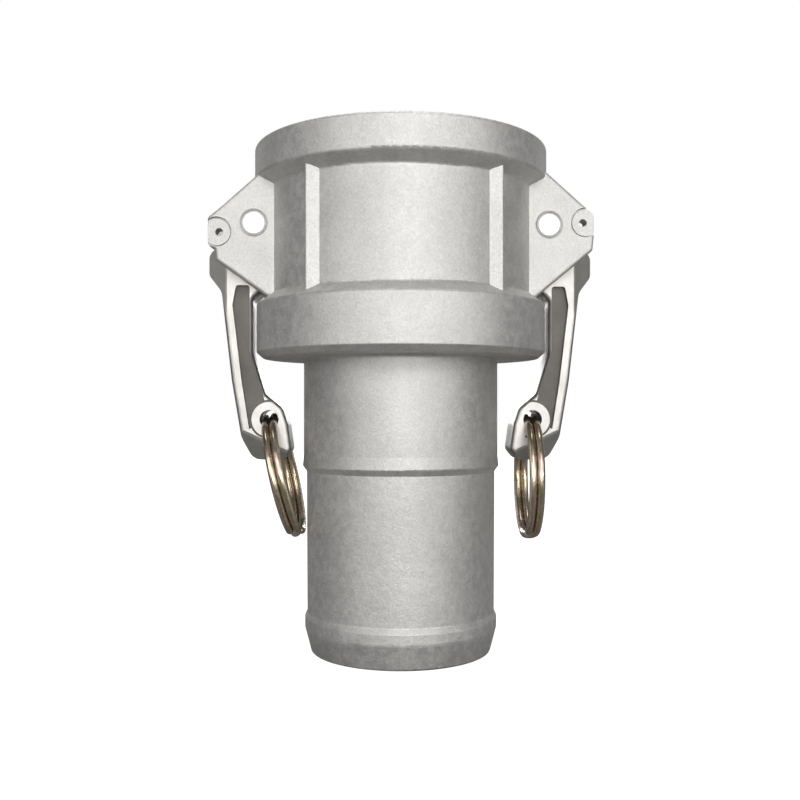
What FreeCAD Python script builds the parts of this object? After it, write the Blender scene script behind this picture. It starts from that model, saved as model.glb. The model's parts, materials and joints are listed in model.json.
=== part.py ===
"""A 2-1/2 inch cam-and-groove coupler with a hose shank, as separate pieces.

The coupler stands on the end of its shank with its mouth up. Z is the flow axis, both cam arms
lie along X, and all lengths are in millimetres. Heights are measured up from the shank's end.
"""

import FreeCAD, Part
import math
import os

Vector = FreeCAD.Vector
UP = Vector(0, 0, 1)
ACROSS = Vector(0, 1, 0)

# The casting
TOTAL_HEIGHT = 171.0
RIM_RADIUS = 50.0
RIM_HEIGHT = 11.5
WAIST_RADIUS = 45.0
COLLAR_RADIUS = 49.5
COLLAR_TOP = 118.2
COLLAR_BOTTOM = 102.1
SHANK_RADIUS = 33.4
SHANK_LOWER_RADIUS = 32.2
BEAD_HEIGHT = 63.5
BEAD_STEP = 61.6
BARB_RADIUS = 33.0
BARB_HEIGHT = 9.6
NOSE_RADIUS = 30.8

# The inside
FLOW_RADIUS = 28.9
SOCKET_RADIUS = 38.2
SOCKET_RELIEF_RADIUS = 38.9
MOUTH_CHAMFER = 1.4
GASKET_OUTER_RADIUS = 39.7
GASKET_INNER_RADIUS = 30.15
GASKET_THICKNESS = 6.35
GASKET_SEAT = 109.0
GROOVE_RADIUS = 40.2
GROOVE_HEIGHT = 6.6

# The lugs and the pivot pins
PIN_X = 49.0
PIN_Z = 144.2
PIN_RADIUS = 4.0
PIN_PRESS = 0.01
LUG_FACE = 15.4
LUG_THICKNESS = 7.0
EAR_EDGE_X = 64.2
EAR_HOLE_X = 60.4
EAR_HOLE_RADIUS = 1.3
EAR_FACE_X = 61.2
EAR_FACE_RADIUS = 5.0
EAR_STEP = 0.7
EAR_GROOVE_WIDTH = 0.6
EAR_GROOVE_DEPTH = 1.6
# the left ear sits lower than the right one, as cast
LEFT_EAR_Z = 141.2
RIGHT_EAR_Z = 145.0
WINDOW_ABOVE_PIN = 12.3
WINDOW_BELOW_PIN = 16.6

# The ribs between the rim and the collar
RIB_INNER_X = 26.0
RIB_OUTER_X = 30.8
RIB_FACE = 36.5

# The cam arms
ARM_WIDTH = 16.0
ARM_RUNNING_GAP = 0.06
CAM_RADIUS = 11.0
CAM_THROW = 3.5
RING_HOLE_X = 44.7
RING_HOLE_Z = 79.3
RING_HOLE_RADIUS = 3.2
RING_BOSS_RADIUS = 5.9
ARM_EDGE_RADIUS = 1.5
WEB_RECESS = 2.0
KNUCKLE_BEVEL_X = 58.8
KNUCKLE_BEVEL_ANGLE = 30.0
TIP_TAPER_Z = 71.8
TIP_TAPER_ANGLE = 19.0
TIP_TAPER_TILT = 25.0

# The pull rings
WIRE_RADIUS = 1.3
RING_MEAN_RADIUS = 20.4
RING_CLEARANCE = 0.3
TURN_SPACING = 2.5
LEFT_RING_LEAN = 13.0

SLOT_HALF_WIDTH = LUG_FACE - LUG_THICKNESS
RIM_BOTTOM = TOTAL_HEIGHT - RIM_HEIGHT


def rounded_wire(corners):
    """A closed outline in the XZ plane from (x, z, corner radius) points, with tangent corner arcs."""
    points = [Vector(x, 0, z) for x, z, radius in corners]
    edges = []
    previous_end = None
    first_start = None
    count = len(points)
    for index, (x, z, radius) in enumerate(corners):
        corner = points[index]
        back = (points[index - 1] - corner).normalize()
        ahead = (points[(index + 1) % count] - corner).normalize()
        start = corner
        end = corner
        if radius > 0:
            half_angle = back.getAngle(ahead) / 2
            reach = radius / math.tan(half_angle)
            middle_way = (back + ahead).normalize()
            start = corner + back * reach
            end = corner + ahead * reach
            nearest = radius / math.sin(half_angle) - radius
            arc = Part.Arc(start, corner + middle_way * nearest, end)
        if previous_end is None:
            first_start = start
        else:
            edges.append(Part.makeLine(previous_end, start))
        if radius > 0:
            edges.append(arc.toShape())
        previous_end = end
    edges.append(Part.makeLine(previous_end, first_start))
    return Part.Wire(edges)


def turned(corners):
    """A solid of revolution about Z from an outline of (radius, height, corner radius) points."""
    face = Part.Face(rounded_wire(corners))
    return face.revolve(Vector(0, 0, 0), UP, 360)


def slab(corners, low_y, high_y):
    """An outline in the XZ plane as a plate from low_y to high_y."""
    face = Part.Face(rounded_wire(corners))
    face.translate(Vector(0, low_y, 0))
    return face.extrude(Vector(0, high_y - low_y, 0))


def crosswise_cylinder(radius, x, z, half_length):
    """A cylinder along Y, centred on the XZ plane."""
    return Part.makeCylinder(radius, 2 * half_length, Vector(x, -half_length, z), ACROSS)


def mirrored_left(shape):
    """The same shape on the left side."""
    return shape.mirror(Vector(0, 0, 0), Vector(1, 0, 0))


def mirrored_front(shape):
    """The same shape on the other side of the XZ plane."""
    return shape.mirror(Vector(0, 0, 0), ACROSS)


def body_outside():
    """The turned outside of the casting: rim, waist, collar, hose shank and nose."""
    return turned([
        (0, 0, 0),
        (NOSE_RADIUS, 0, 1.0),
        (BARB_RADIUS, BARB_HEIGHT - 1.2, 4.0),
        (BARB_RADIUS, BARB_HEIGHT + 2.4, 0.8),
        (SHANK_LOWER_RADIUS, BARB_HEIGHT + 4.2, 1.0),
        (SHANK_LOWER_RADIUS + 0.2, BEAD_STEP, 0.4),
        (SHANK_RADIUS + 0.4, BEAD_HEIGHT, 0.8),
        (SHANK_RADIUS, BEAD_HEIGHT + 4.0, 4.0),
        (SHANK_RADIUS, COLLAR_BOTTOM - 2.0, 1.2),
        (COLLAR_RADIUS - 2.2, COLLAR_BOTTOM - 2.0, 0.8),
        (COLLAR_RADIUS, COLLAR_BOTTOM, 0.6),
        (COLLAR_RADIUS, COLLAR_TOP, 1.2),
        (WAIST_RADIUS, COLLAR_TOP + 3.2, 1.0),
        (WAIST_RADIUS, RIM_BOTTOM - 2.4, 1.0),
        (RIM_RADIUS, RIM_BOTTOM + 0.4, 1.4),
        (RIM_RADIUS, TOTAL_HEIGHT, 1.0),
        (0, TOTAL_HEIGHT, 0),
    ])


def lug_plate(ear_z):
    """The front plate of a right lug pair, with its safety-pin hole at height ear_z."""
    lift = ear_z - LEFT_EAR_Z
    heel_x = 61.4 + 0.6 * lift
    heel_z = 132.0 + lift
    shoulder_z = 149.4 + 0.5 * lift
    plate = slab([
        (40.5, 120.0, 0),
        (44.6, 120.0, 1.2),
        (heel_x, heel_z, 1.2),
        (heel_x + 0.3, heel_z + 3.4, 0.5),
        (EAR_EDGE_X, heel_z + 5.2, 1.0),
        (EAR_EDGE_X, shoulder_z - 3.4, 2.2),
        (60.0, shoulder_z, 3.0),
        (45.4, shoulder_z + 13.0, 1.0),
        (40.5, shoulder_z + 13.0, 0),
    ], -LUG_FACE, -SLOT_HALF_WIDTH)
    rounded = [
        edge for edge in plate.Edges
        if abs(edge.BoundBox.YMax + LUG_FACE) < 0.01 and edge.BoundBox.XMax > 41
    ]
    plate = plate.makeFillet(1.1, rounded)
    ear_face = crosswise_cylinder(EAR_FACE_RADIUS, EAR_FACE_X, ear_z, EAR_STEP)
    groove = crosswise_cylinder(EAR_FACE_RADIUS, EAR_FACE_X, ear_z, EAR_GROOVE_DEPTH)
    boss = crosswise_cylinder(EAR_FACE_RADIUS - EAR_GROOVE_WIDTH, EAR_FACE_X, ear_z, EAR_GROOVE_DEPTH)
    cutter = ear_face.fuse(groove.cut(boss))
    cutter.translate(Vector(0, -LUG_FACE, 0))
    return plate.cut(cutter)


def lug_holes(ear_z):
    """The cutters for a right lug: a press hole with countersinks, and the safety-pin hole."""
    reach = LUG_FACE + 1
    pin_hole = crosswise_cylinder(PIN_RADIUS - PIN_PRESS, PIN_X, PIN_Z, reach)
    sink_depth = 0.7
    sink = Part.makeCone(
        PIN_RADIUS - PIN_PRESS, PIN_RADIUS + sink_depth, sink_depth,
        Vector(PIN_X, -LUG_FACE + sink_depth, PIN_Z), Vector(0, -1, 0))
    ear_hole = crosswise_cylinder(EAR_HOLE_RADIUS, EAR_HOLE_X, ear_z, reach)
    return [pin_hole, sink, mirrored_front(sink), ear_hole]


def window():
    """The cutter for the right cam's window through the socket wall."""
    low_x = SOCKET_RADIUS - 8
    cutter = Part.makeBox(
        PIN_X + CAM_RADIUS - low_x, 2 * SLOT_HALF_WIDTH, WINDOW_ABOVE_PIN + WINDOW_BELOW_PIN,
        Vector(low_x, -SLOT_HALF_WIDTH, PIN_Z - WINDOW_BELOW_PIN))
    return cutter


def rib():
    """The right front rib, flat on its front and square on its outer side."""
    bar = Part.makeBox(
        RIB_OUTER_X - RIB_INNER_X, RIB_FACE - 30, RIM_BOTTOM - COLLAR_TOP + 6,
        Vector(RIB_INNER_X, -RIB_FACE, COLLAR_TOP - 3))
    outer_edge = [
        edge for edge in bar.Edges
        if abs(edge.BoundBox.XMin - RIB_OUTER_X) < 0.01 and abs(edge.BoundBox.YMax + RIB_FACE) < 0.01
    ]
    return bar.makeFillet(0.6, outer_edge)


def body_inside():
    """The cutter for the mouth, socket, gasket groove and flow bore."""
    groove_top = GASKET_SEAT + GROOVE_HEIGHT
    land_bottom = PIN_Z + WINDOW_ABOVE_PIN + 0.3
    seat_lip = GASKET_INNER_RADIUS + 0.8
    return turned([
        (0, -1, 0),
        (FLOW_RADIUS, -1, 0),
        (FLOW_RADIUS, COLLAR_BOTTOM - 4, 3.0),
        (seat_lip, GASKET_SEAT, 0),
        (GROOVE_RADIUS, GASKET_SEAT, 0.4),
        (GROOVE_RADIUS, groove_top, 0),
        (SOCKET_RELIEF_RADIUS, groove_top, 0.3),
        (SOCKET_RELIEF_RADIUS, land_bottom, 0),
        (SOCKET_RADIUS, land_bottom, 0),
        (SOCKET_RADIUS, TOTAL_HEIGHT - MOUTH_CHAMFER, 0),
        (SOCKET_RADIUS + MOUTH_CHAMFER, TOTAL_HEIGHT, 0),
        (SOCKET_RADIUS + MOUTH_CHAMFER, TOTAL_HEIGHT + 1, 0),
        (0, TOTAL_HEIGHT + 1, 0),
    ])


def coupler_body():
    """The whole casting, machined."""
    right_plate = lug_plate(RIGHT_EAR_Z)
    left_plate = mirrored_left(lug_plate(LEFT_EAR_Z))
    plates = [right_plate, mirrored_front(right_plate), left_plate, mirrored_front(left_plate)]
    bar = rib()
    ribs = [bar, mirrored_front(bar), mirrored_left(bar), mirrored_front(mirrored_left(bar))]
    casting = body_outside().fuse(plates + ribs)
    cutters = [body_inside(), window(), mirrored_left(window())]
    cutters += lug_holes(RIGHT_EAR_Z)
    cutters += [mirrored_left(cutter) for cutter in lug_holes(LEFT_EAR_Z)]
    return casting.cut(cutters).removeSplitter()


def gasket():
    """The rubber seal, in its groove on the seat."""
    top = GASKET_SEAT + GASKET_THICKNESS
    return turned([
        (GASKET_INNER_RADIUS, GASKET_SEAT, 0.5),
        (GASKET_OUTER_RADIUS, GASKET_SEAT, 0.5),
        (GASKET_OUTER_RADIUS, top, 0.5),
        (GASKET_INNER_RADIUS, top, 0.9),
    ])


def pivot_pin():
    """The right pivot pin, chamfered at both ends and level with the lugs' outer faces."""
    half = LUG_FACE + 0.1
    pin = crosswise_cylinder(PIN_RADIUS, PIN_X, PIN_Z, half)
    ends = [edge for edge in pin.Edges if isinstance(edge.Curve, Part.Circle)]
    return pin.makeChamfer(0.5, ends)


def arm_outline():
    """The right arm's side outline, from the cam's inner side round the grip and back up."""
    return [
        (46.4, 123.6, 2.4),
        (50.3, 120.0, 3.0),
        (50.3, 101.8, 6.0),
        (46.0, 88.0, 3.0),
        (40.2, 83.2, 3.0),
        (38.4, 77.6, 5.0),
        (37.2, 69.0, 2.4),
        (40.0, 65.4, 3.0),
        (50.2, 65.8, 4.0),
        (54.2, 73.4, 8.0),
        (57.4, 92.6, 30.0),
        (60.8, 122.6, 5.0),
        (65.3, 128.2, 3.0),
        (65.3, 137.0, 3.2),
        (60.2, 137.0, 2.0),
        (56.2, 143.4, 3.0),
        (54.0, 152.0, 3.0),
        (46.4, 152.0, 2.6),
    ]


def web_outline():
    """The recess in each side of the right arm, from under the lug down to the ring boss."""
    return [
        (51.2, 124.6, 1.0),
        (51.2, 102.2, 6.0),
        (47.2, 89.8, 0.4),
        (RING_HOLE_X, RING_HOLE_Z, 0),
        (51.4, 76.0, 0),
        (54.0, 92.6, 30.0),
        (57.0, 118.0, 1.5),
        (55.8, 124.6, 1.0),
    ]


def arm_recess():
    """The cutter for the right arm's front web, with a fine groove round the ring boss."""
    half = ARM_WIDTH / 2
    floor = -half + WEB_RECESS
    web = slab(web_outline(), -half - 1, floor)
    groove = Part.makeCylinder(RING_BOSS_RADIUS + 0.7, 1, Vector(RING_HOLE_X, -half, RING_HOLE_Z), ACROSS)
    inner_side = Part.makeBox(20, 4, 40, Vector(RING_HOLE_X - 22.6, -half - 1, RING_HOLE_Z - 20))
    boss = Part.makeCylinder(RING_BOSS_RADIUS, half, Vector(RING_HOLE_X, -half - 1, RING_HOLE_Z), ACROSS)
    return web.fuse(groove.cut(inner_side)).cut(boss)


def knuckle_bevel():
    """The cutter that slopes the right knuckle's front side back towards its outer edge."""
    half = ARM_WIDTH / 2
    reach = 12.0
    depth = reach * math.tan(math.radians(KNUCKLE_BEVEL_ANGLE))
    low_z = RING_HOLE_Z
    corners = [
        Vector(KNUCKLE_BEVEL_X, -half, low_z),
        Vector(KNUCKLE_BEVEL_X + reach, -half + depth, low_z),
        Vector(KNUCKLE_BEVEL_X + reach, -half - 1, low_z),
        Vector(KNUCKLE_BEVEL_X, -half - 1, low_z),
    ]
    return Part.Face(Part.makePolygon(corners + corners[:1])).extrude(Vector(0, 0, PIN_Z - low_z))


def tip_taper():
    """The cutter that thins the right arm's front side towards its lower end, along a slanting line."""
    half = ARM_WIDTH / 2
    reach = 14.0
    depth = reach * math.tan(math.radians(TIP_TAPER_ANGLE))
    corners = [
        Vector(RING_HOLE_X - 20, -half, TIP_TAPER_Z),
        Vector(RING_HOLE_X - 20, -half + depth, TIP_TAPER_Z - reach),
        Vector(RING_HOLE_X - 20, -half - 1, TIP_TAPER_Z - reach),
        Vector(RING_HOLE_X - 20, -half - 1, TIP_TAPER_Z),
    ]
    wedge = Part.Face(Part.makePolygon(corners + corners[:1])).extrude(Vector(40, 0, 0))
    wedge.rotate(Vector(RING_HOLE_X, 0, TIP_TAPER_Z), ACROSS, -TIP_TAPER_TILT)
    return wedge


def cam_arm():
    """The right cam arm: eccentric cam, knuckle, webbed handle and ring boss."""
    half = ARM_WIDTH / 2
    handle = slab(arm_outline(), -half, half)
    outline_edges = [edge for edge in handle.Edges if edge.BoundBox.YLength < 0.01]
    handle = handle.makeFillet(ARM_EDGE_RADIUS, outline_edges)
    cam = crosswise_cylinder(CAM_RADIUS, PIN_X - CAM_THROW, PIN_Z, half)
    recess = arm_recess()
    bevel = knuckle_bevel()
    taper = tip_taper()
    cutters = [
        recess,
        mirrored_front(recess),
        bevel,
        mirrored_front(bevel),
        taper,
        mirrored_front(taper),
        crosswise_cylinder(RING_HOLE_RADIUS, RING_HOLE_X, RING_HOLE_Z, half + 1),
        crosswise_cylinder(PIN_RADIUS + ARM_RUNNING_GAP, PIN_X, PIN_Z, half + 1),
    ]
    return handle.fuse(cam).cut(cutters)


def pull_ring(lean):
    """The right pull ring: two turns of wire side by side in the ring hole, leaning in by lean degrees."""
    sag = RING_MEAN_RADIUS - math.sqrt(RING_MEAN_RADIUS ** 2 - (ARM_WIDTH / 2) ** 2)
    play = RING_HOLE_RADIUS - WIRE_RADIUS - RING_CLEARANCE
    drop = math.sqrt(play ** 2 - (TURN_SPACING / 2) ** 2)
    top_of_wire_z = RING_HOLE_Z - drop + sag
    centre_z = top_of_wire_z - RING_MEAN_RADIUS
    turns = [
        Part.makeTorus(
            RING_MEAN_RADIUS, WIRE_RADIUS,
            Vector(RING_HOLE_X + side * TURN_SPACING / 2, 0, centre_z), Vector(1, 0, 0))
        for side in (-1, 1)
    ]
    ring = turns[0].fuse(turns[1])
    ring.rotate(Vector(RING_HOLE_X, 0, RING_HOLE_Z), ACROSS, lean)
    return ring


def build():
    """Every piece by its node name."""
    arm = cam_arm()
    pin = pivot_pin()
    return {
        "coupler_body": coupler_body(),
        "gasket": gasket(),
        "cam_arm_left": mirrored_left(arm),
        "cam_arm_right": arm,
        "pivot_pin_left": mirrored_left(pin),
        "pivot_pin_right": pin,
        "pull_ring_left": mirrored_left(pull_ring(LEFT_RING_LEAN)),
        "pull_ring_right": pull_ring(0),
    }


os.makedirs("parts", exist_ok=True)
for node, shape in build().items():
    shape.exportStep("parts/" + node + ".step")
    box = shape.BoundBox
    print(node, shape.isValid(), len(shape.Solids), round(shape.Volume), [
        round(value, 2) for value in (box.XMin, box.XMax, box.YMin, box.YMax, box.ZMin, box.ZMax)])
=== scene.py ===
"""The looks of a cam-and-groove hose coupler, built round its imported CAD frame. Lengths are in metres."""

import json
import math

import bpy
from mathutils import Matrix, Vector


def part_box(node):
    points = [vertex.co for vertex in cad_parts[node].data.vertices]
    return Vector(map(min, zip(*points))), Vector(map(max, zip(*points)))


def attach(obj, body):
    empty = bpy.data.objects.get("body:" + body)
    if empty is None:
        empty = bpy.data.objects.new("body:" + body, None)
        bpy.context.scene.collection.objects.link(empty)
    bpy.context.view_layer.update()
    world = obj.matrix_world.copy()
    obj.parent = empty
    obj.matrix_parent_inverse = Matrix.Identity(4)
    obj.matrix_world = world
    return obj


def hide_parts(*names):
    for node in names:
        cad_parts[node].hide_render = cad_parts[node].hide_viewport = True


MM = 0.001

# Camera: level, a little to the left of the coupler's front
CAMERA_DISTANCE = 330 * MM
CAMERA_HEIGHT = 82.5 * MM
CAMERA_ORBIT_DEG = 2.0
LENS_MM = 42.75
SENSOR_MM = 36.0
SHIFT_X = -0.0008
SHIFT_Y = 0.0125

# The socket's machined inside is the part of the casting this close to the flow axis and this high
MACHINED_RADIUS = 40.4 * MM
MACHINED_FLOOR = 104 * MM

# The arms' ground side faces lie this far from the middle plane. A web's floor is any other face that looks
# almost straight along Y, and it gets painted shade: the two values are where that painted shade starts and
# where it is full.
LAND_DEPTH = 7.8 * MM
WEB_SQUARENESS = (0.955, 0.985)

# The split rings: the wire's radius, half the arc its crossover takes, and where on the ring that is
WIRE_RADIUS = 1.3 * MM
CROSSOVER_DEG = 16
CROSSOVER_PLACE_DEG = 190

# The coil's mesh: corners round the wire, the step between its stations, and the stations of its domed ends
COIL_SIDES = 14
COIL_STEP_DEG = 3
DOME_TILTS_DEG = (10, 35, 60)
TURN_DEG = 360

# Each ring's small twist about its own upright, within the play of its hole
RING_TWIST_DEG = -1.5

# An edge is kept crisp where its faces turn by more than this
PIECE_CREASE_DEG = 32
COIL_CREASE_DEG = 50

CASTING_COLOUR = (0.64, 0.63, 0.61)
MACHINED_COLOUR = (0.78, 0.78, 0.77)
LAND_COLOUR = (0.56, 0.54, 0.51)
# Painted shade: arm faces turned away from the sides, such as bevels, tapers and roundings, are coloured
# darker than the ground faces
EDGE_PAINTED_SHADE_COLOUR = (0.36, 0.35, 0.33)
# Painted shade: the near-black, warm colour given to the arms' sunken web floors
WEB_PAINTED_SHADE_COLOUR = (0.125, 0.118, 0.108)
PIN_COLOUR = (0.84, 0.84, 0.83)
RUBBER_COLOUR = (0.025, 0.025, 0.026)

# Gold, pink and green passivate: where on the ramp each colour sits
PASSIVATE_RAMP = [
    (0.30, (0.28, 0.31, 0.23)),
    (0.45, (0.53, 0.46, 0.31)),
    (0.58, (0.68, 0.57, 0.43)),
    (0.70, (0.58, 0.43, 0.37)),
    (0.85, (0.31, 0.35, 0.28)),
]

# The ground: half its width, and how pale it is to every ray but the camera's
FLOOR_REACH = 6.0
FLOOR_COLOUR = (0.22, 0.22, 0.22)

# What surrounds the coupler is white to the camera, and a dim cool grey as a light
SURROUNDINGS_COLOUR = (0.96, 0.98, 1.0)
SURROUNDINGS_STRENGTH = 0.12
WHITE = (1, 1, 1, 1)

# The lamps all face the middle of the coupler
LAMP_AIM = (0, 0, 0.09)


class Nodes:
    """A material's node tree with short ways to add and join nodes."""

    def __init__(self, name):
        self.material = bpy.data.materials.new(name)
        self.material.use_nodes = True
        self.tree = self.material.node_tree
        self.tree.nodes.clear()
        self.surface = self.add("ShaderNodeBsdfPrincipled")
        output = self.add("ShaderNodeOutputMaterial")
        self.join(self.surface.outputs["BSDF"], output.inputs["Surface"])
        coordinates = self.add("ShaderNodeTexCoord")
        self.place = coordinates.outputs["Object"]
        self.normal = coordinates.outputs["Normal"]

    def add(self, kind, **settings):
        node = self.tree.nodes.new(kind)
        for name, value in settings.items():
            setattr(node, name, value)
        return node

    def join(self, source, target):
        self.tree.links.new(source, target)

    def feed(self, target, value):
        """Joins an output to an input, or sets the input to a plain value."""
        if isinstance(value, bpy.types.NodeSocket):
            self.join(value, target)
        else:
            target.default_value = value

    def noise(self, cells_per_metre, detail=2.0, roughness=0.5, distortion=0.0, place=None):
        node = self.add("ShaderNodeTexNoise")
        self.join(place or self.place, node.inputs["Vector"])
        node.inputs["Scale"].default_value = cells_per_metre
        node.inputs["Detail"].default_value = detail
        node.inputs["Roughness"].default_value = roughness
        node.inputs["Distortion"].default_value = distortion
        return node.outputs["Fac"]

    def split(self, vector):
        """The vector's x, y and z."""
        node = self.add("ShaderNodeSeparateXYZ")
        self.join(vector, node.inputs[0])
        return node.outputs

    def shaded(self, colour, factor):
        """The colour made lighter or darker by a factor."""
        node = self.add("ShaderNodeVectorMath", operation="SCALE")
        if isinstance(colour, bpy.types.NodeSocket):
            self.join(colour, node.inputs[0])
        else:
            node.inputs[0].default_value = colour
        self.feed(node.inputs["Scale"], factor)
        return node.outputs[0]

    def stretched(self, x, y, z):
        """The object's own coordinates, stretched along each axis."""
        node = self.add("ShaderNodeMapping")
        self.join(self.place, node.inputs["Vector"])
        node.inputs["Scale"].default_value = (x, y, z)
        return node.outputs["Vector"]

    def remap(self, value, low, high, to_low, to_high):
        node = self.add("ShaderNodeMapRange", clamp=True)
        self.feed(node.inputs["Value"], value)
        self.feed(node.inputs["From Min"], low)
        self.feed(node.inputs["From Max"], high)
        self.feed(node.inputs["To Min"], to_low)
        self.feed(node.inputs["To Max"], to_high)
        return node.outputs["Result"]

    def maths(self, operation, a, b=0.0):
        node = self.add("ShaderNodeMath", operation=operation)
        self.feed(node.inputs[0], a)
        self.feed(node.inputs[1], b)
        return node.outputs[0]

    def mix(self, share, a, b):
        """Blends two colours: a where share is 0, b where it is 1."""
        node = self.add("ShaderNodeMix", data_type="RGBA")
        self.feed(node.inputs["Factor"], share)
        colour_a, colour_b = [socket for socket in node.inputs if socket.type == "RGBA"]
        self.feed(colour_a, a if isinstance(a, bpy.types.NodeSocket) else (*a, 1))
        self.feed(colour_b, b if isinstance(b, bpy.types.NodeSocket) else (*b, 1))
        return next(socket for socket in node.outputs if socket.type == "RGBA")

    def bump(self, height, depth, strength=1.0, under=None):
        node = self.add("ShaderNodeBump")
        node.inputs["Distance"].default_value = depth
        self.feed(node.inputs["Strength"], strength)
        self.join(height, node.inputs["Height"])
        if under:
            self.join(under, node.inputs["Normal"])
        return node.outputs["Normal"]

    def finish(self, colour, metallic, roughness, normal=None):
        self.feed(self.surface.inputs["Base Color"],
                  colour if isinstance(colour, bpy.types.NodeSocket) else (*colour, 1))
        self.feed(self.surface.inputs["Metallic"], metallic)
        self.feed(self.surface.inputs["Roughness"], roughness)
        if normal:
            self.join(normal, self.surface.inputs["Normal"])
        return self.material


def scaled(colour, factor):
    return tuple(channel * factor for channel in colour)


def cast_aluminium():
    """Shot-blasted casting outside, turned and brighter inside the socket."""
    n = Nodes("cast_aluminium")
    grain = n.noise(1500, detail=3, roughness=0.6)
    skin = n.noise(420, detail=2)
    mottle = n.noise(55, detail=4, roughness=0.6)
    x, y, z = n.split(n.place)
    radius = n.maths("SQRT", n.maths("ADD", n.maths("MULTIPLY", x, x), n.maths("MULTIPLY", y, y)))
    inside = n.maths("LESS_THAN", radius, MACHINED_RADIUS)
    high = n.maths("GREATER_THAN", z, MACHINED_FLOOR)
    machined = n.maths("MULTIPLY", inside, high)

    speckle = n.remap(grain, 0.35, 0.65, 0.90, 1.06)
    pores = n.remap(skin, 0.35, 0.65, 0.94, 1.05)
    blotch = n.remap(mottle, 0.3, 0.7, 0.92, 1.05)
    unevenness = n.maths("MULTIPLY", n.maths("MULTIPLY", speckle, pores), blotch)
    casting = n.shaded(CASTING_COLOUR, unevenness)
    colour = n.mix(machined, casting, MACHINED_COLOUR)

    rough = n.remap(skin, 0.3, 0.7, 0.55, 0.64)
    blasted = n.maths("SUBTRACT", 1.0, machined)
    roughness = n.maths("ADD", n.maths("MULTIPLY", blasted, rough), n.maths("MULTIPLY", machined, 0.26))

    rings = n.noise(1.0, detail=1, place=n.stretched(30, 30, 4200))
    normal = n.bump(grain, 0.10 * MM, n.maths("MULTIPLY", blasted, 0.7))
    normal = n.bump(skin, 0.12 * MM, n.maths("MULTIPLY", blasted, 0.65), under=normal)
    normal = n.bump(rings, 0.05 * MM, n.maths("MULTIPLY", machined, 0.6), under=normal)
    return n.finish(colour, 0.9, roughness, normal)


def arm_steel():
    """Cast stainless: bright where the flat sides were ground, with painted shade elsewhere: darker on the
    faces turned away from the sides, nearly black and warm on the webs' sunken floors.
    """
    n = Nodes("arm_steel")
    cloud = n.noise(90, detail=4, roughness=0.6)
    fine = n.noise(900, detail=2)
    depth = n.maths("ABSOLUTE", n.split(n.place)[1])
    squareness = n.maths("ABSOLUTE", n.split(n.normal)[1])
    land = n.remap(depth, LAND_DEPTH - 0.2 * MM, LAND_DEPTH, 0, 1)
    square = n.remap(squareness, *WEB_SQUARENESS, 0, 1)
    # Painted shade mask: the webs' sunken floors, faces almost straight along Y that are not ground faces
    web_shade_mask = n.maths("MULTIPLY", square, n.maths("SUBTRACT", 1.0, land))
    patch = n.remap(cloud, 0.3, 0.7, 0.82, 1.12)
    # Painted shade: web floors get the near-black colour, and every other face that is not ground gets the
    # darker edge colour
    colour = n.mix(web_shade_mask, EDGE_PAINTED_SHADE_COLOUR, WEB_PAINTED_SHADE_COLOUR)
    colour = n.shaded(n.mix(land, colour, LAND_COLOUR), patch)
    normal = n.bump(fine, 0.05 * MM, 0.5)
    normal = n.bump(cloud, 0.5 * MM, 0.25, under=normal)
    return n.finish(colour, 1.0, n.remap(web_shade_mask, 0, 1, 0.46, 0.5), normal)


def pin_steel():
    """Bright turned stainless."""
    n = Nodes("pin_steel")
    fine = n.noise(1800, detail=2)
    roughness = n.remap(fine, 0.3, 0.7, 0.45, 0.55)
    return n.finish(PIN_COLOUR, 0.9, roughness, n.bump(fine, 0.03 * MM, 0.4))


def passivated_wire():
    """Zinc-plated wire with the shifting gold, pink and green of yellow passivate."""
    n = Nodes("passivated_wire")
    patch = n.noise(170, detail=2, distortion=0.6)
    facing = n.add("ShaderNodeLayerWeight")
    facing.inputs["Blend"].default_value = 0.5
    shift = n.maths("ADD", patch, n.maths("MULTIPLY", facing.outputs["Facing"], 0.35))
    ramp = n.add("ShaderNodeValToRGB")
    n.join(shift, ramp.inputs["Fac"])
    while len(ramp.color_ramp.elements) < len(PASSIVATE_RAMP):
        ramp.color_ramp.elements.new(0.5)
    for element, (at, colour) in zip(ramp.color_ramp.elements, PASSIVATE_RAMP):
        element.position = at
        element.color = (*colour, 1)
    fine = n.noise(1400, detail=1)
    roughness = n.remap(patch, 0.3, 0.7, 0.2, 0.34)
    return n.finish(ramp.outputs["Color"], 1.0, roughness, n.bump(fine, 0.02 * MM, 0.4))


def nitrile_rubber():
    """Moulded black rubber with a faint bloom."""
    n = Nodes("nitrile_rubber")
    bloom = n.noise(120, detail=3)
    fine = n.noise(1600, detail=2)
    colour = n.mix(n.remap(bloom, 0.4, 0.7, 0, 1), RUBBER_COLOUR, scaled(RUBBER_COLOUR, 1.9))
    return n.finish(colour, 0.0, n.remap(bloom, 0.3, 0.7, 0.5, 0.68), n.bump(fine, 0.05 * MM, 0.5))


def smooth(piece, crease_deg=PIECE_CREASE_DEG):
    """Shades a piece smooth, with its real edges kept crisp."""
    piece.data.polygons.foreach_set("use_smooth", [True] * len(piece.data.polygons))
    piece.data.set_sharp_from_angle(angle=math.radians(crease_deg))


def smooth_step(share):
    """A share between 0 and 1, eased so that it starts and ends gently."""
    share = min(max(share, 0.0), 1.0)
    return share * share * (3 - 2 * share)


def coil_point(radius, spacing, turned_deg):
    """A split ring's wire centre after turned_deg of its two turns, in the ring's own frame."""
    across = smooth_step((turned_deg - TURN_DEG + CROSSOVER_DEG) / (2 * CROSSOVER_DEG))
    angle = math.radians(CROSSOVER_PLACE_DEG + turned_deg)
    return Vector(((across - 0.5) * spacing, radius * math.sin(angle), radius * math.cos(angle)))


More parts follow.
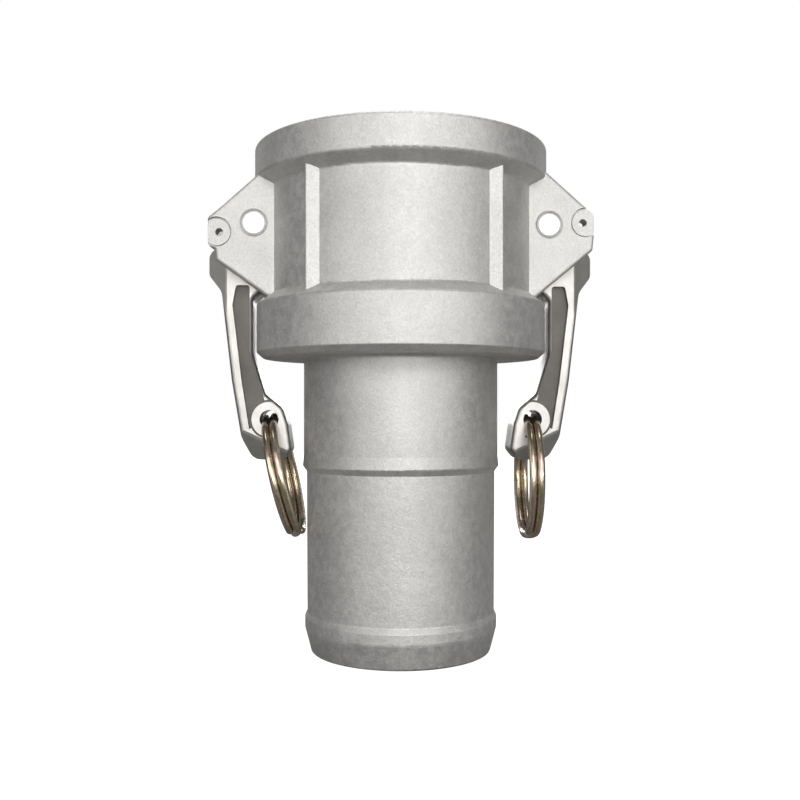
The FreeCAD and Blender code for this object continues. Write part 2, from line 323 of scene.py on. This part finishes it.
def coil_wire(name, radius, spacing):
    """A wire coiled two full turns side by side, with domed ends."""
    first = CROSSOVER_DEG
    last = 2 * TURN_DEG - CROSSOVER_DEG
    dome = [(-math.cos(math.radians(tilt)), math.sin(math.radians(tilt))) for tilt in DOME_TILTS_DEG]
    degrees_per_radius = math.degrees(WIRE_RADIUS / radius)
    stations = [(first + back * degrees_per_radius, thick) for back, thick in dome]
    stations += [(turned, 1.0) for turned in range(first, last + 1, COIL_STEP_DEG)]
    stations += [(last - back * degrees_per_radius, thick) for back, thick in reversed(dome)]
    corners = []
    for turned, thick in stations:
        centre = coil_point(radius, spacing, turned)
        before = coil_point(radius, spacing, turned - 0.5)
        after = coil_point(radius, spacing, turned + 0.5)
        along = (after - before).normalized()
        outward = Vector((0, centre.y, centre.z)).normalized()
        side = outward.cross(along).normalized()
        for index in range(COIL_SIDES):
            angle = 2 * math.pi * index / COIL_SIDES
            spoke = side * math.cos(angle) + outward * math.sin(angle)
            corners.append(centre + spoke * WIRE_RADIUS * thick)
    faces = []
    for row in range(len(stations) - 1):
        low = row * COIL_SIDES
        high = low + COIL_SIDES
        for index in range(COIL_SIDES):
            beside = (index + 1) % COIL_SIDES
            faces.append((low + index, low + beside, high + beside, high + index))
    faces.append(tuple(reversed(range(COIL_SIDES))))
    faces.append(tuple(range(len(corners) - COIL_SIDES, len(corners))))
    mesh = bpy.data.meshes.new(name)
    mesh.from_pydata(corners, [], faces)
    mesh.update()
    return mesh


def split_ring(frame, side, material):
    """The split ring on one arm: a real coil where the frame has two plain rings."""
    node = "pull_ring_" + side
    swing = next(joint for joint in frame["joints"] if joint["name"] == side + "_ring_swing")
    hole = Vector(swing["pos_m"])
    low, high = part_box(node)
    radius = (high.y - low.y) / 2 - WIRE_RADIUS
    centre = (low + high) / 2
    hang = centre - hole
    lean = math.atan2(-hang.x, -hang.z)
    name = "split_ring_" + side
    ring = bpy.data.objects.new(name, coil_wire(name, radius, 2 * WIRE_RADIUS))
    bpy.context.scene.collection.objects.link(ring)
    ring.location = centre
    ring.rotation_euler = (0, lean, math.radians(RING_TWIST_DEG))
    ring.data.materials.append(material)
    smooth(ring, COIL_CREASE_DEG)
    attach(ring, side + "_ring")
    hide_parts(node)


def dress(frame):
    """Gives each CAD piece its material."""
    casting = cast_aluminium()
    steel = arm_steel()
    bright = pin_steel()
    wire = passivated_wire()
    looks = {
        "coupler_body": casting,
        "gasket": nitrile_rubber(),
        "cam_arm_left": steel,
        "cam_arm_right": steel,
        "pivot_pin_left": bright,
        "pivot_pin_right": bright,
    }
    for name, material in looks.items():
        piece = frame["nodes"][name]
        piece.data.materials.clear()
        piece.data.materials.append(material)
        smooth(piece)
    split_ring(frame, "left", wire)
    split_ring(frame, "right", wire)


def backdrop():
    """A stage surface that photographs as a plain pale ground but adds little light of its own."""
    material = bpy.data.materials.new("floor")
    material.use_nodes = True
    tree = material.node_tree
    tree.nodes.clear()
    output = tree.nodes.new("ShaderNodeOutputMaterial")
    diffuse = tree.nodes.new("ShaderNodeBsdfDiffuse")
    diffuse.inputs["Color"].default_value = (*FLOOR_COLOUR, 1)
    glow = tree.nodes.new("ShaderNodeEmission")
    glow.inputs["Color"].default_value = WHITE
    glow.inputs["Strength"].default_value = 1.0
    ray = tree.nodes.new("ShaderNodeLightPath")
    both = tree.nodes.new("ShaderNodeAddShader")
    pick = tree.nodes.new("ShaderNodeMixShader")
    tree.links.new(diffuse.outputs[0], both.inputs[0])
    tree.links.new(glow.outputs[0], both.inputs[1])
    tree.links.new(ray.outputs["Is Camera Ray"], pick.inputs[0])
    tree.links.new(diffuse.outputs[0], pick.inputs[1])
    tree.links.new(both.outputs[0], pick.inputs[2])
    tree.links.new(pick.outputs[0], output.inputs["Surface"])
    return material


def floor():
    """A wide pale floor under the coupler."""
    mesh = bpy.data.meshes.new("floor")
    corners = [(x * FLOOR_REACH, y * FLOOR_REACH, 0) for x, y in ((-1, -1), (1, -1), (1, 1), (-1, 1))]
    mesh.from_pydata(corners, [], [(0, 1, 2, 3)])
    mesh.materials.append(backdrop())
    ground = bpy.data.objects.new("floor", mesh)
    bpy.context.scene.collection.objects.link(ground)


def panel_light(name, place, size, watts):
    """A soft white rectangular lamp at place, facing the coupler."""
    data = bpy.data.lights.new(name, "AREA")
    data.shape = "RECTANGLE"
    data.size, data.size_y = size
    data.energy = watts
    lamp = bpy.data.objects.new(name, data)
    bpy.context.scene.collection.objects.link(lamp)
    lamp.location = place
    lamp.rotation_euler = (Vector(LAMP_AIM) - Vector(place)).to_track_quat("-Z", "Y").to_euler()


def lights():
    """Broad soft light from the front and its sides, a top lamp, and three lamps for the back views."""
    panel_light("front_low", place=(0.05, -1.4, 0.16), size=(0.8, 0.25), watts=5.7)
    panel_light("front_high", place=(0.05, -1.3, 0.75), size=(0.8, 0.5), watts=5.6)
    panel_light("top", place=(0.0, 0.1, 1.3), size=(0.8, 0.8), watts=7.8)
    panel_light("behind", place=(0.0, 1.4, 0.4), size=(0.8, 0.5), watts=11.0)
    for name, side in (("left", -1), ("right", 1)):
        panel_light("front_" + name, place=(side * 0.97, -1.03, 0.36), size=(0.7, 0.6), watts=4.7)
        panel_light("back_" + name, place=(side * 1.0, 1.0, 0.45), size=(0.7, 0.6), watts=0.8)


def surroundings():
    """White behind the coupler, and a dimmer grey as what lights and reflects in it."""
    world = bpy.data.worlds.new("surroundings")
    world.use_nodes = True
    tree = world.node_tree
    tree.nodes.clear()
    output = tree.nodes.new("ShaderNodeOutputWorld")
    seen = tree.nodes.new("ShaderNodeBackground")
    seen.inputs["Color"].default_value = WHITE
    seen.inputs["Strength"].default_value = 1.0
    light = tree.nodes.new("ShaderNodeBackground")
    light.inputs["Color"].default_value = (*SURROUNDINGS_COLOUR, 1)
    light.inputs["Strength"].default_value = SURROUNDINGS_STRENGTH
    ray = tree.nodes.new("ShaderNodeLightPath")
    pick = tree.nodes.new("ShaderNodeMixShader")
    tree.links.new(ray.outputs["Is Camera Ray"], pick.inputs[0])
    tree.links.new(light.outputs[0], pick.inputs[1])
    tree.links.new(seen.outputs[0], pick.inputs[2])
    tree.links.new(pick.outputs[0], output.inputs["Surface"])
    bpy.context.scene.world = world
    bpy.context.scene.view_settings.view_transform = "Standard"
    bpy.context.scene.view_settings.look = "None"


def camera():
    """A level camera in front, close enough for the coupler's own perspective."""
    data = bpy.data.cameras.new("camera")
    data.sensor_width = SENSOR_MM
    data.lens = LENS_MM
    data.shift_x = SHIFT_X
    data.shift_y = SHIFT_Y
    data.clip_start = 0.01
    data.dof.use_dof = False
    eye = bpy.data.objects.new("camera", data)
    bpy.context.scene.collection.objects.link(eye)
    orbit = math.radians(CAMERA_ORBIT_DEG)
    eye.location = (-CAMERA_DISTANCE * math.sin(orbit), -CAMERA_DISTANCE * math.cos(orbit), CAMERA_HEIGHT)
    eye.rotation_euler = (math.radians(90), 0, -orbit)
    bpy.context.scene.camera = eye


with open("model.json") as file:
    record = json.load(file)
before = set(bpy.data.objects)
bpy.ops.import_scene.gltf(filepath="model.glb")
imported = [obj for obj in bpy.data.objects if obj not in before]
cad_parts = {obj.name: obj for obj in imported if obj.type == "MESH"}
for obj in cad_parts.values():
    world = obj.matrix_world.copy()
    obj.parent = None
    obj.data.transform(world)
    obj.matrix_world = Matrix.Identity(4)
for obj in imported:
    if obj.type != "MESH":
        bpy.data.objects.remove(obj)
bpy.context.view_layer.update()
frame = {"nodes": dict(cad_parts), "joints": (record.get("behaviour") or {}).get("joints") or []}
dress(frame)
floor()
lights()
surroundings()
camera()
